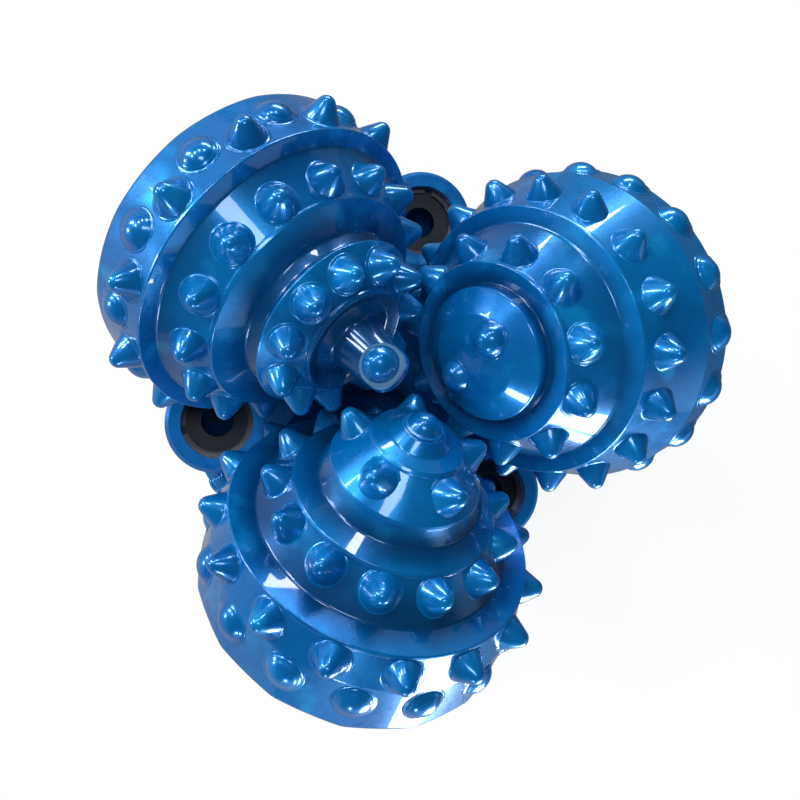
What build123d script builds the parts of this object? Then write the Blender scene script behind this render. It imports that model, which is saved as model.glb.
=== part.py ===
from build123d import *
from collections import namedtuple
from math import acos, asin, atan2, cos, degrees, floor, hypot, pi, radians, sin
import os

os.makedirs("parts", exist_ok=True)

# Three-cone rock bit with pressed-in carbide inserts. Millimetres and degrees throughout.
# The bit stands on the end face of its threaded pin at Z = 0, with the three cones on top.

# Layout of the journals
journal_angle = 36.0
cone_offset = 4.1
crossing_height = 240.0
leg_azimuths = {"a": 150.0, "b": 30.0, "c": 270.0}

# Pin connection and shoulder
pin_length = 107.95
pin_large_diameter = 117.48
pin_small_diameter = 90.48
thread_depth = 2.99
pin_base_length = 12.7
pin_end_chamfer = 2.5
fluid_bore_diameter = 44.0
fluid_bore_depth = 112.0
fluid_bore_cone = 8.8
shoulder_diameter = 139.7
shoulder_chamfer = 1.6
shoulder_band = 9.0
cut_past = 8.0

# Legs
leg_radius = 103.5
leg_taper_height = 22.0
leg_top_height = 232.0
leg_face_gap = 0.8
leg_edge_chamfer = 4.0
shirttail_radius = 47.0
leg_foot_width = 72.0
leg_foot_drop = 112.0
body_flare_radius = 79.0
body_flare_height = 134.0
body_flare_chamfer = 4.0
body_dome_height = 166.0
journal_root = 4.0
seam_lead = 41.0
cone_space_gap = 3.5
cone_space_nose = [(5.0, 0.0), (5.0, 18.0), (22.0, 42.0), (46.0, 59.0)]
cone_space_sweep_start = 60.0
cone_space_sweep_end = 84.0

# Cones, measured outward along the journal axis from the crossing
cone_back = 94.0
back_face_radius = 51.5
rim_reach = 91.6
rim_radius = 55.9

# Journal bearing
journal_radius = 26.5
bushing_wall = 2.45
bushing_inner_end = 70.4
bushing_length = 17.2
running_gap = 0.05
race_reach = 64.0
ball_diameter = 12.0
race_gap = 0.06
ball_spacing = 0.7
journal_step = 58.3
pilot_radius = 15.0
pilot_end = 42.2
flange_gap = 0.4
thrust_washer_thickness = 2.0
thrust_washer_bore = 8.0
washer_gap = 0.1

# Journal seal
seal_section = 4.8
seal_squeeze_gap = 0.15
gland_back = 92.7
gland_width = 5.2

# Ball hole and plug
ball_hole_rise = 7.0
ball_hole_gap = 0.3
plug_gap = 0.1
plug_stand_off = 7.0
plug_recess = 1.5
plug_waist = 4.2
plug_head = 12.0

# Grease reservoir in the back of each leg
reservoir_drop = 88.0
reservoir_radius = 18.0
reservoir_depth = 28.0
cap_radius = 19.8
cap_thickness = 3.5
cap_depth = 8.0
cap_vent_radius = 2.0
snap_ring_thickness = 1.8
snap_ring_outer = 20.7
snap_ring_width = 3.0
snap_ring_split = 6.0
diaphragm_wall = 2.2
diaphragm_depth = 14.0
grease_hole_radius = 2.5
grease_hole_inset = 3.0
small_gap = 0.15

# Nozzles between the legs
nozzle_inset = 37.0
nozzle_lag = 60.0
boss_radius = 20.0
boss_top = 148.0
boss_foot_radius = 9.0
boss_foot_height = 112.0
boss_wall_height = 127.0
boss_rim_chamfer = 1.6
nozzle_pocket_radius = 14.0
nozzle_pocket_depth = 22.0
nozzle_length = 14.0
nozzle_entry_radius = 9.0
nozzle_exit_radius = 6.35
nozzle_throat = 4.0
nozzle_gap = 0.1
nozzle_ring_thickness = 2.0
nozzle_ring_width = 3.0
nozzle_ring_groove = 1.2
nozzle_seal_section = 2.4
nozzle_seal_lift = 4.0
feed_radius = 8.0
feed_start_radius = 10.0
feed_start_height = 98.0

# Carbide inserts
insert_radius = 6.0
nose_insert_radius = 5.4
insert_grip = 7.5
inner_grip = 5.5
socket_gap = 0.03
heel_height = 3.1
cone_height = 7.4
nose_height = 4.2
crest_radius = 3.1
flank_foot = 0.8
spot_face_radius = 7.1

# A row of inserts stands square on the land between two outline corners
Row = namedtuple("Row", "name count turn start end share shape height radius grip")

rim_outline = [(cone_back, back_face_radius), (rim_reach, rim_radius)]
rim_rounds = [1.2, 2.5]

# Cone outlines from the rim to the nose: distance along the journal axis, radius
cone_outlines = {
    "a": [(67.0, 54.9), (66.2, 49.6), (50.5, 39.8), (46.8, 30.0), (42.5, 28.6), (39.4, 31.2),
          (29.8, 18.2), (27.2, 12.6), (10.2, 5.1), (10.2, 0.0)],
    "b": [(76.0, 55.2), (51.0, 46.0), (50.2, 40.5), (32.5, 29.6), (34.0, 22.8),
          (29.4, 22.3), (24.6, 14.6), (22.2, 5.0), (22.0, 0.0)],
    "c": [(72.0, 55.0), (58.5, 51.8), (57.6, 43.6), (43.6, 33.8), (40.5, 27.2), (36.5, 26.0),
          (32.3, 24.9), (20.5, 14.5), (18.9, 10.2), (15.0, 7.2), (14.4, 0.0)],
}
outline_rounds = {
    "a": [1.6, 1.6, 1.8, 2.0, 1.6, 1.6, 1.8, 3.0, 7.8],
    "b": [4.0, 1.8, 1.8, 1.8, 0.9, 1.8, 5.0, 2.0],
    "c": [4.0, 1.6, 1.6, 1.6, 1.6, 1.6, 2.2, 1.6, 1.6, 1.0],
}

# Row seats: the land's end corners are counted from the rim, 1 being the rim itself
insert_rows = {
    "a": [
        Row("heel", 12, 296.0, 1, 2, 0.45, "dome", heel_height, insert_radius, insert_grip),
        Row("gauge", 12, 281.0, 1, 2, 0.665, "conical", cone_height, insert_radius, insert_grip),
        Row("middle", 15, 274.4, 3, 4, 0.59, "conical", cone_height, insert_radius, insert_grip),
        Row("inner", 11, 269.3, 7, 8, 0.47, "conical", cone_height, nose_insert_radius, inner_grip),
        Row("nose", 1, 9.5, 10, 11, 0.0, "dome", nose_height, nose_insert_radius, inner_grip),
    ],
    "b": [
        Row("heel", 17, 283.0, 1, 2, 0.36, "dome", heel_height, insert_radius, insert_grip),
        Row("gauge", 17, 260.1, 2, 3, 0.62, "conical", cone_height, insert_radius, insert_grip),
        Row("middle", 11, 256.1, 4, 5, 0.64, "conical", cone_height, insert_radius, insert_grip),
        Row("nose", 2, 28.1, 8, 9, 0.49, "dome", nose_height, nose_insert_radius, inner_grip),
    ],
    "c": [
        Row("heel", 15, 287.1, 1, 2, 0.64, "dome", heel_height, insert_radius, insert_grip),
        Row("gauge", 15, 251.0, 2, 3, 0.46, "conical", cone_height, insert_radius, insert_grip),
        Row("middle", 13, 273.3, 4, 5, 0.58, "conical", cone_height, insert_radius, insert_grip),
        Row("inner", 5, 252.7, 8, 9, 0.5, "conical", cone_height, insert_radius, inner_grip),
        Row("nose", 1, 0.0, 11, 12, 1.0, "dome", nose_height, nose_insert_radius, inner_grip),
    ],
}

# A row with no share stands askew on a flat spot of the rounded nose: reach, radius, tilt
askew_seat = (15.8, 2.7, 50.0)

# Sizes that follow from those above
bushing_bore = journal_radius + running_gap
bushing_outer = bushing_bore + bushing_wall
ball_count = floor(2 * pi * journal_radius / (ball_diameter + ball_spacing))
ball_radius = ball_diameter / 2
race_radius = ball_radius + race_gap
leg_face = cone_back + leg_face_gap
washer_back = pilot_end - washer_gap
washer_front = washer_back - thrust_washer_thickness
pilot_bore_end = washer_front - washer_gap
seal_pitch = journal_radius + seal_squeeze_gap + seal_section / 2
gland_radius = seal_pitch + seal_section / 2 + seal_squeeze_gap
nozzle_circle = leg_radius - nozzle_inset
nozzle_radius = nozzle_pocket_radius - nozzle_gap
nozzle_base = boss_top - nozzle_pocket_depth + nozzle_gap
crossing = Vector(0, 0, crossing_height)


def outward(azimuth):
    return Vector(cos(radians(azimuth)), sin(radians(azimuth)), 0)


def sideways(azimuth):
    return Vector(-sin(radians(azimuth)), cos(radians(azimuth)), 0)


def journal_plane(azimuth):
    """Plane through a journal axis: x runs down and out along the axis, y stands across it."""
    along = outward(azimuth) * cos(radians(journal_angle)) - Vector(0, 0, sin(radians(journal_angle)))
    origin = crossing + sideways(azimuth) * cone_offset
    return Plane(origin=origin, x_dir=along, z_dir=sideways(azimuth) * -1)


def upright_plane(azimuth):
    """Vertical plane through the bit axis: x runs outward, y runs up."""
    return Plane(origin=(0, 0, 0), x_dir=outward(azimuth), z_dir=sideways(azimuth) * -1)


def journal_axis(plane):
    return Axis(plane.origin, plane.x_dir)


def on_journal(plane, reach, radius, turn, tilt=0.0):
    """Plane at a point round the journal axis, facing away from it and tilted to the nose."""
    spoke = plane.y_dir * cos(radians(turn)) - plane.z_dir * sin(radians(turn))
    facing = spoke * cos(radians(tilt)) - plane.x_dir * sin(radians(tilt))
    point = plane.origin + plane.x_dir * reach + spoke * radius
    return Plane(origin=point, z_dir=facing)


def finish(piece, name):
    piece.part.label = name
    export_step(piece.part, f"parts/{name}.step")
    return piece.part


def full_outline(cone):
    return rim_outline + cone_outlines[cone]


def row_seats(plane, cone, row):
    """Planes on the cone's surface where the inserts of one row stand."""
    corners = full_outline(cone)
    (start_reach, start_radius), (end_reach, end_radius) = corners[row.start], corners[row.end]
    if row.share == 0.0:
        reach, radius, tilt = askew_seat
        return [on_journal(plane, reach, radius, row.turn, tilt)]
    if row.share == 1.0:
        return [on_journal(plane, end_reach, 0.0, 0.0, 90.0)]
    reach = start_reach + (end_reach - start_reach) * row.share
    radius = start_radius + (end_radius - start_radius) * row.share
    tilt = degrees(atan2(start_radius - end_radius, start_reach - end_reach))
    return [on_journal(plane, reach, radius, row.turn + 360 * i / row.count, tilt)
            for i in range(row.count)]


def make_insert(row):
    """One insert standing on Z = 0: a plain shank below, a crest above."""
    size, height = row.radius, row.height
    if row.shape == "dome":
        foot = 0.0
        crest = (size * size + height * height) / (2 * height)
        lean = asin((height - crest) / crest * -1)
    else:
        foot = flank_foot
        crest = crest_radius
        drop = height - crest - foot
        lean = acos(crest / hypot(size, drop)) - atan2(drop, size)
    middle = (radians(90) + lean) / 2
    centre = height - crest
    with BuildPart() as insert:
        with BuildSketch(Plane.XZ):
            with BuildLine():
                Polyline((0, height), (0, -row.grip), (size, -row.grip), (size, foot))
                if row.shape != "dome":
                    Line((size, foot), (crest * cos(lean), centre + crest * sin(lean)))
                ThreePointArc((crest * cos(lean), centre + crest * sin(lean)),
                              (crest * cos(middle), centre + crest * sin(middle)), (0, height))
            make_face()
        revolve(axis=Axis.Z)
    return insert.part


def make_insert_row(plane, cone, row):
    pattern = make_insert(row)
    with BuildPart() as inserts:
        with Locations(*row_seats(plane, cone, row)):
            add(pattern)
    return finish(inserts, f"cone_{cone}_{row.name}_inserts")


def make_cone_shell(plane, cone):
    """Forged cone: grooved outside, bored for its bearing, drilled for its inserts."""
    corners = full_outline(cone)
    with BuildPart() as shell:
        with BuildSketch(plane):
            with BuildLine():
                FilletPolyline((cone_back, 0), *corners, radius=rim_rounds + outline_rounds[cone])
                Line(corners[-1], (cone_back, 0))
            make_face()
        revolve(axis=journal_axis(plane))
        with BuildSketch(plane):
            with BuildLine():
                Polyline((cone_back + cut_past, 0), (cone_back + cut_past, bushing_outer),
                         (gland_back, bushing_outer),
                         (gland_back, gland_radius), (gland_back - gland_width, gland_radius),
                         (gland_back - gland_width, bushing_outer + running_gap),
                         (bushing_inner_end - small_gap, bushing_outer + running_gap),
                         (bushing_inner_end - small_gap, journal_radius + flange_gap),
                         (journal_step - flange_gap, journal_radius + flange_gap),
                         (journal_step - flange_gap, pilot_radius + running_gap),
                         (pilot_bore_end, pilot_radius + running_gap), (pilot_bore_end, 0), close=True)
            make_face()
        revolve(axis=journal_axis(plane), mode=Mode.SUBTRACT)
        with BuildSketch(plane):
            with Locations((race_reach, journal_radius)):
                Circle(race_radius)
        revolve(axis=journal_axis(plane), mode=Mode.SUBTRACT)
        for row in insert_rows[cone]:
            depth = row.grip + small_gap
            with Locations(*row_seats(plane, cone, row)):
                with Locations((0, 0, (row.height - depth) / 2)):
                    Cylinder(row.radius + socket_gap, row.height + depth, mode=Mode.SUBTRACT)
                if row.share == 0.0:
                    with Locations((0, 0, row.height)):
                        Cylinder(spot_face_radius, 2 * row.height, mode=Mode.SUBTRACT)
    return finish(shell, f"cone_{cone}_shell")


def make_balls(plane, cone):
    """Locking balls: they fill the race and hold the cone on its journal."""
    seats = [on_journal(plane, race_reach, journal_radius, 360 * (i + 0.5) / ball_count)
             for i in range(ball_count)]
    with BuildPart() as balls:
        with Locations(*seats):
            Sphere(ball_radius)
    return finish(balls, f"cone_{cone}_balls")


def make_ring(plane, name, reach, length, inner, outer):
    """Plain ring about the journal axis, from reach outward."""
    with BuildPart() as ring:
        with BuildSketch(plane):
            with BuildLine():
                Polyline((reach, inner), (reach + length, inner), (reach + length, outer),
                         (reach, outer), close=True)
            make_face()
        revolve(axis=journal_axis(plane))
    return finish(ring, name)


def make_journal_seal(plane, cone):
    with BuildPart() as seal:
        with BuildSketch(plane):
            with Locations((gland_back - gland_width / 2, seal_pitch)):
                Circle(seal_section / 2)
        revolve(axis=journal_axis(plane))
    return finish(seal, f"cone_{cone}_journal_seal")


def ball_hole_plane(plane):
    """Plane at the race, facing out along the hole through which the balls are loaded."""
    race = plane.origin + plane.x_dir * race_reach - plane.y_dir * journal_radius
    azimuth_out = Vector(plane.x_dir.X, plane.x_dir.Y, 0).normalized()
    run = leg_radius - race.dot(azimuth_out)
    facing = azimuth_out * run + Vector(0, 0, ball_hole_rise)
    return Plane(origin=race, z_dir=facing), facing.length


def make_ball_plug(plane, cone):
    """Waisted pin behind the balls; grease passes round its waist."""
    hole, length = ball_hole_plane(plane)
    size = ball_radius + ball_hole_gap - plug_gap
    end = length - plug_recess
    with BuildPart() as plug:
        with BuildSketch(Plane(origin=hole.origin, x_dir=hole.x_dir, z_dir=hole.y_dir * -1)):
            with BuildLine():
                Polyline((0, plug_stand_off), (size, plug_stand_off),
                         (size, plug_stand_off + plug_head / 2),
                         (plug_waist, plug_stand_off + plug_head / 2 + size - plug_waist),
                         (plug_waist, end - plug_head - size + plug_waist),
                         (size, end - plug_head), (size, end), (0, end), close=True)
            make_face()
        revolve(axis=Axis(hole.origin, hole.z_dir))
    return finish(plug, f"leg_{cone}_ball_plug")


def reservoir_plane(azimuth):
    """Plane on the back of a leg, facing outward, where its grease reservoir opens."""
    origin = outward(azimuth) * leg_radius + Vector(0, 0, crossing_height - reservoir_drop)
    return Plane(origin=origin, x_dir=sideways(azimuth), z_dir=outward(azimuth))


def make_reservoir_cap(azimuth, cone):
    with BuildPart() as cap:
        with Locations(reservoir_plane(azimuth)):
            with Locations((0, 0, -cap_depth - cap_thickness / 2)):
                Cylinder(cap_radius, cap_thickness)
                Cylinder(cap_vent_radius, cap_thickness, mode=Mode.SUBTRACT)
    return finish(cap, f"leg_{cone}_reservoir_cap")


def make_snap_ring(azimuth, cone):
    """Split spring ring that holds the reservoir cap."""
    with BuildPart() as ring:
        with BuildSketch(reservoir_plane(azimuth).offset(-cap_depth + small_gap)):
            Circle(snap_ring_outer)
            Circle(snap_ring_outer - snap_ring_width, mode=Mode.SUBTRACT)
            with Locations((0, -snap_ring_outer)):
                Rectangle(snap_ring_split, 3 * snap_ring_width, mode=Mode.SUBTRACT)
        extrude(amount=snap_ring_thickness)
    return finish(ring, f"leg_{cone}_reservoir_snap_ring")


def make_diaphragm(azimuth, cone):
    """Rubber cup that lets the grease follow the pressure outside."""
    size = reservoir_radius - small_gap
    front = -cap_depth - cap_thickness - small_gap
    back = front - diaphragm_depth
    neck = size - diaphragm_wall
    base = reservoir_plane(azimuth)
    side = Plane(origin=base.origin, x_dir=base.x_dir, z_dir=base.y_dir * -1)
    with BuildPart() as diaphragm:
        with BuildSketch(side):
            with BuildLine():
                Polyline((neck - diaphragm_wall, front), (size, front), (size, front - diaphragm_wall),
                         (neck, front - diaphragm_wall), (neck, back + 2 * diaphragm_wall),
                         (neck - 2 * diaphragm_wall, back), (0, back), (0, back + diaphragm_wall),
                         (neck - 2.5 * diaphragm_wall, back + diaphragm_wall),
                         (neck - diaphragm_wall, back + 2.5 * diaphragm_wall), close=True)
            make_face()
        revolve(axis=Axis(base.origin, base.z_dir))
    return finish(diaphragm, f"leg_{cone}_reservoir_diaphragm")


def nozzle_point(azimuth, height):
    return outward(azimuth + nozzle_lag) * nozzle_circle + Vector(0, 0, height)


def nozzle_section(azimuth):
    """Vertical plane through a nozzle's own axis."""
    return Plane(origin=nozzle_point(azimuth, 0), x_dir=outward(azimuth + nozzle_lag),
                 z_dir=sideways(azimuth + nozzle_lag) * -1)


def nozzle_axis(azimuth):
    return Axis(nozzle_point(azimuth, 0), (0, 0, 1))


def make_nozzle(azimuth, cone):
    top = nozzle_base + nozzle_length
    with BuildPart() as nozzle:
        with BuildSketch(nozzle_section(azimuth)):
            with BuildLine():
                Polyline((nozzle_entry_radius, nozzle_base), (nozzle_radius, nozzle_base),
                         (nozzle_radius, top), (nozzle_exit_radius, top),
                         (nozzle_exit_radius, top - nozzle_throat))
                Spline((nozzle_exit_radius, top - nozzle_throat), (nozzle_entry_radius, nozzle_base),
                       tangents=((0, -1), (0.5, -1)))
            make_face()
        revolve(axis=nozzle_axis(azimuth))
    return finish(nozzle, f"nozzle_{cone}")


def make_nozzle_ring(azimuth, cone):
    """Spring ring that keeps the nozzle in its pocket."""
    size = nozzle_pocket_radius + nozzle_ring_groove - nozzle_gap
    base = Plane(origin=nozzle_point(azimuth, nozzle_base + nozzle_length + nozzle_gap),
                 x_dir=outward(azimuth + nozzle_lag))
    with BuildPart() as ring:
        with BuildSketch(base):
            Circle(size)
            Circle(size - nozzle_ring_width, mode=Mode.SUBTRACT)
            with Locations((size, 0)):
                Rectangle(nozzle_ring_width * 3, nozzle_ring_width, mode=Mode.SUBTRACT)
        extrude(amount=nozzle_ring_thickness)
    return finish(ring, f"nozzle_{cone}_snap_ring")


def make_nozzle_seals():
    """O-rings round the three nozzles."""
    with BuildPart() as seals:
        for azimuth in leg_azimuths.values():
            with BuildSketch(nozzle_section(azimuth)):
                with Locations((nozzle_pocket_radius + nozzle_seal_section / 2,
                                nozzle_base + nozzle_seal_lift)):
                    Circle(nozzle_seal_section / 2)
            revolve(axis=nozzle_axis(azimuth))
    return finish(seals, "nozzle_seals")


def cone_space(azimuth):
    """Room in which one cone turns, with its inserts and a running gap."""
    plane = journal_plane(azimuth)
    sweep = rim_radius + cone_height + cone_space_gap
    with BuildPart() as space:
        with BuildSketch(plane):
            with BuildLine():
                Polyline(*cone_space_nose, (cone_space_sweep_start, sweep), (cone_space_sweep_end, sweep),
                         (leg_face, rim_radius + cone_space_gap), (leg_face, 0), close=True)
            make_face()
        revolve(axis=journal_axis(plane))
    return space.part


def body_sector(azimuth):
    """Plane from which one leg's third of the bit is turned."""
    return upright_plane(azimuth - seam_lead)


def make_leg(azimuth, cone, spaces):
    """Forged leg: a third of the pin and body, the arm, the shirttail and the journal."""
    plane = journal_plane(azimuth)
    pin_end_radius = pin_small_diameter / 2 - thread_depth
    pin_root_radius = pin_large_diameter / 2 - thread_depth
    pin_base_radius = pin_large_diameter / 2
    shoulder_radius = shoulder_diameter / 2
    band_top = pin_length + shoulder_band
    arm_top = pin_length + shoulder_band + leg_taper_height
    face = Plane(origin=plane.origin + plane.x_dir * leg_face, x_dir=plane.z_dir * -1, z_dir=plane.x_dir)
    with BuildPart() as arm:
        with BuildSketch(face):
            Circle(shirttail_radius)
            with BuildLine():
                Polyline((-shirttail_radius, 0), (shirttail_radius, 0),
                         (leg_foot_width / 2, -leg_foot_drop), (-leg_foot_width / 2, -leg_foot_drop),
                         close=True)
            make_face()
        extrude(amount=2 * leg_radius)
        with BuildSketch(body_sector(azimuth)):
            with BuildLine():
                Polyline((0, pin_length), (shoulder_radius - shoulder_chamfer, pin_length),
                         (shoulder_radius, pin_length + shoulder_chamfer), (shoulder_radius, band_top),
                         (leg_radius, arm_top), (leg_radius, leg_top_height), (0, leg_top_height),
                         close=True)
            make_face()
        revolve(axis=Axis.Z, revolution_arc=120, mode=Mode.INTERSECT)
        back_edges = arm.edges().filter_by(lambda edge: on_leg_back(edge))
        chamfer(back_edges, leg_edge_chamfer)
    with BuildPart() as leg:
        with BuildSketch(body_sector(azimuth)):
            with BuildLine():
                Polyline((0, 0), (pin_end_radius - pin_end_chamfer, 0), (pin_end_radius, pin_end_chamfer),
                         (pin_root_radius, pin_length - pin_base_length),
                         (pin_base_radius, pin_length - pin_base_length), (pin_base_radius, pin_length),
                         (shoulder_radius - shoulder_chamfer, pin_length),
                         (shoulder_radius, pin_length + shoulder_chamfer), (shoulder_radius, band_top),
                         (body_flare_radius, body_flare_height),
                         (body_flare_radius - body_flare_chamfer, body_flare_height + body_flare_chamfer),
                         (0, body_dome_height), close=True)
            make_face()
        revolve(axis=Axis.Z, revolution_arc=120)
        add(arm.part)
        for space in spaces:
            add(space, mode=Mode.SUBTRACT)
        with BuildSketch(plane):
            with BuildLine():
                Polyline((leg_face + journal_root, 0), (leg_face + journal_root, journal_radius),
                         (journal_step, journal_radius),
                         (journal_step, pilot_radius), (pilot_end, pilot_radius), (pilot_end, 0),
                         close=True)
            make_face()
        revolve(axis=journal_axis(plane))
        with BuildSketch(plane):
            with Locations((race_reach, journal_radius)):
                Circle(race_radius)
        revolve(axis=journal_axis(plane), mode=Mode.SUBTRACT)
        add(boss_shape(azimuth), mode=Mode.SUBTRACT)
        add(fluid_ways(azimuth), mode=Mode.SUBTRACT)
        add(reservoir_space(azimuth), mode=Mode.SUBTRACT)
        hole, length = ball_hole_plane(plane)
        with Locations(hole):
            Cylinder(ball_radius + ball_hole_gap, length + 2 * cut_past,
                     align=(Align.CENTER, Align.CENTER, Align.MIN), mode=Mode.SUBTRACT)
    return finish(leg, f"leg_{cone}")


def on_leg_back(edge):
    """True for an edge whose middle lies on the round back of a leg."""
    middle = edge @ 0.5
    return abs(hypot(middle.X, middle.Y) - leg_radius) < small_gap


def boss_shape(azimuth):
    """Outside of the sleeve that holds a nozzle."""
    with BuildPart() as boss:
        with BuildSketch(nozzle_section(azimuth)):
            with BuildLine():
                Polyline((0, boss_foot_height), (boss_foot_radius, boss_foot_height),
                         (boss_radius, boss_wall_height), (boss_radius, boss_top - boss_rim_chamfer),
                         (boss_radius - boss_rim_chamfer, boss_top), (0, boss_top), close=True)
            make_face()
        revolve(axis=nozzle_axis(azimuth))
    return boss.part


def make_nozzle_boss(azimuth, cone, spaces):
    """Thick sleeve let into the leg and welded there, with the nozzle's pocket in it."""
    with BuildPart() as boss:
        add(boss_shape(azimuth))
        for space in spaces:
            add(space, mode=Mode.SUBTRACT)
        add(fluid_ways(azimuth), mode=Mode.SUBTRACT)
    return finish(boss, f"leg_{cone}_nozzle_boss")


def fluid_ways(azimuth):
    """Space of the pin's bore, of the feed to one nozzle and of that nozzle's pocket."""
    bore = fluid_bore_diameter / 2
    pocket_floor = boss_top - nozzle_pocket_depth
    ring_floor = nozzle_base + nozzle_length
    ring_ceiling = ring_floor + nozzle_ring_thickness + 2 * nozzle_gap
    ring_groove = nozzle_pocket_radius + nozzle_ring_groove
    seal_middle = nozzle_base + nozzle_seal_lift
    half_seal = nozzle_seal_section / 2 + nozzle_gap
    seal_groove = nozzle_pocket_radius + 2 * half_seal
    start = outward(azimuth + nozzle_lag) * feed_start_radius + Vector(0, 0, feed_start_height)
    end = nozzle_point(azimuth, pocket_floor)
    with BuildPart() as ways:
        with BuildSketch(upright_plane(azimuth)):
            with BuildLine():
                Polyline((0, -cut_past), (bore, -cut_past), (bore, fluid_bore_depth - fluid_bore_cone),
                         (0, fluid_bore_depth), close=True)
            make_face()
        revolve(axis=Axis.Z)
        with Locations(Plane(origin=start, z_dir=end - start)):
            Cylinder(feed_radius, (end - start).length, align=(Align.CENTER, Align.CENTER, Align.MIN))
        with Locations(end):
            Sphere(feed_radius)
        with BuildSketch(nozzle_section(azimuth)):
            with BuildLine():
                Polyline((0, pocket_floor), (nozzle_pocket_radius, pocket_floor),
                         (nozzle_pocket_radius, seal_middle - half_seal),
                         (seal_groove, seal_middle - half_seal), (seal_groove, seal_middle + half_seal),
                         (nozzle_pocket_radius, seal_middle + half_seal),
                         (nozzle_pocket_radius, ring_floor), (ring_groove, ring_floor),
                         (ring_groove, ring_ceiling), (nozzle_pocket_radius, ring_ceiling),
                         (nozzle_pocket_radius, boss_top + cut_past), (0, boss_top + cut_past), close=True)
            make_face()
        revolve(axis=nozzle_axis(azimuth))
    return ways.part


def reservoir_space(azimuth):
    """Stepped pocket for the reservoir, its snap ring groove and the grease hole."""
    base = reservoir_plane(azimuth)
    side = Plane(origin=base.origin, x_dir=base.x_dir, z_dir=base.y_dir * -1)
    cap_seat = -cap_depth - cap_thickness
    groove_top = -cap_depth + snap_ring_thickness + 2 * small_gap
    grease_foot = (base.origin - base.z_dir * (reservoir_depth - grease_hole_inset)
                   + Vector(0, 0, reservoir_radius - grease_hole_inset))
    with BuildPart() as space:
        with BuildSketch(side):
            with BuildLine():
                Polyline((0, cut_past), (cap_radius + small_gap, cut_past),
                         (cap_radius + small_gap, groove_top),
                         (snap_ring_outer + small_gap, groove_top),
                         (snap_ring_outer + small_gap, -cap_depth),
                         (cap_radius + small_gap, -cap_depth), (cap_radius + small_gap, cap_seat),
                         (reservoir_radius, cap_seat), (reservoir_radius, -reservoir_depth),
                         (0, -reservoir_depth), close=True)
            make_face()
        revolve(axis=Axis(base.origin, base.z_dir))
        with Locations(grease_foot):
            Cylinder(grease_hole_radius, reservoir_radius + grease_hole_inset,
                     align=(Align.CENTER, Align.CENTER, Align.MIN))
    return space.part


spaces = [cone_space(azimuth) for azimuth in leg_azimuths.values()]
for cone, azimuth in leg_azimuths.items():
    plane = journal_plane(azimuth)
    make_leg(azimuth, cone, spaces)
    make_cone_shell(plane, cone)
    for row in insert_rows[cone]:
        make_insert_row(plane, cone, row)
    make_balls(plane, cone)
    make_ring(plane, f"cone_{cone}_journal_bushing", bushing_inner_end, bushing_length,
              bushing_bore, bushing_outer)
    make_ring(plane, f"cone_{cone}_thrust_washer", washer_front, thrust_washer_thickness,
              thrust_washer_bore / 2, pilot_radius - washer_gap)
    make_journal_seal(plane, cone)
    make_ball_plug(plane, cone)
    make_reservoir_cap(azimuth, cone)
    make_snap_ring(azimuth, cone)
    make_diaphragm(azimuth, cone)
    make_nozzle_boss(azimuth, cone, spaces)
    make_nozzle(azimuth, cone)
    make_nozzle_ring(azimuth, cone)
make_nozzle_seals()
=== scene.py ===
import math

import bmesh
import bpy
from mathutils import Matrix, Vector


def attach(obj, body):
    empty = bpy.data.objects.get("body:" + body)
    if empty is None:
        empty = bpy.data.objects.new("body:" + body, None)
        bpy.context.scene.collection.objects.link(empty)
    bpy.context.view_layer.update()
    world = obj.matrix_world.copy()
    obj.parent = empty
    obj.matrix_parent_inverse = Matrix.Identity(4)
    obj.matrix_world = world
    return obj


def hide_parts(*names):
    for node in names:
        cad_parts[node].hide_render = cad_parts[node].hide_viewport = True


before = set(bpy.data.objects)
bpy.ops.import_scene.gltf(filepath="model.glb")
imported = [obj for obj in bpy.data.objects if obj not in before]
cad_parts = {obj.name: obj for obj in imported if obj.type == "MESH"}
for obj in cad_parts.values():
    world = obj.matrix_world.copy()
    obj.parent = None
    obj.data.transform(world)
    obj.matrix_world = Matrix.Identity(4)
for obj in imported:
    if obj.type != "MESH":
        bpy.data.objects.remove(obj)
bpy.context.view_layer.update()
print("frame loaded:", len(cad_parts), "nodes")

mm = 0.001
scene = bpy.context.scene
layout = {"crossing": 240, "journalAngle": math.radians(36), "offset": 4.1,
          "azimuth": {"a": 150, "b": 30, "c": 270}}


def outward(azimuth):
    return Vector((math.cos(math.radians(azimuth)), math.sin(math.radians(azimuth)), 0))


def sideways(azimuth):
    return Vector((-math.sin(math.radians(azimuth)), math.cos(math.radians(azimuth)), 0))


def journalFrame(azimuth):
    # local z runs down and out along the journal, local x stands across it
    tilt = layout["journalAngle"]
    along = outward(azimuth) * math.cos(tilt) - Vector((0, 0, math.sin(tilt)))
    side = sideways(azimuth)
    across = (side * -1).cross(along)
    place = (Vector((0, 0, layout["crossing"])) + side * layout["offset"]) * mm
    return Matrix.Translation(place) @ Matrix((across, side, along)).transposed().to_4x4()


class Wire:
    # a socket that adds, subtracts and multiplies, so that a node sum reads as a sum
    def __init__(self, board, socket):
        self.board, self.socket = board, socket

    def __add__(self, other):
        return self.board.maths("ADD", self, other)

    def __sub__(self, other):
        return self.board.maths("SUBTRACT", self, other)

    def __rsub__(self, other):
        return self.board.maths("SUBTRACT", other, self)

    def __mul__(self, other):
        return self.board.maths("MULTIPLY", self, other)

    __radd__ = __add__


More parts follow.
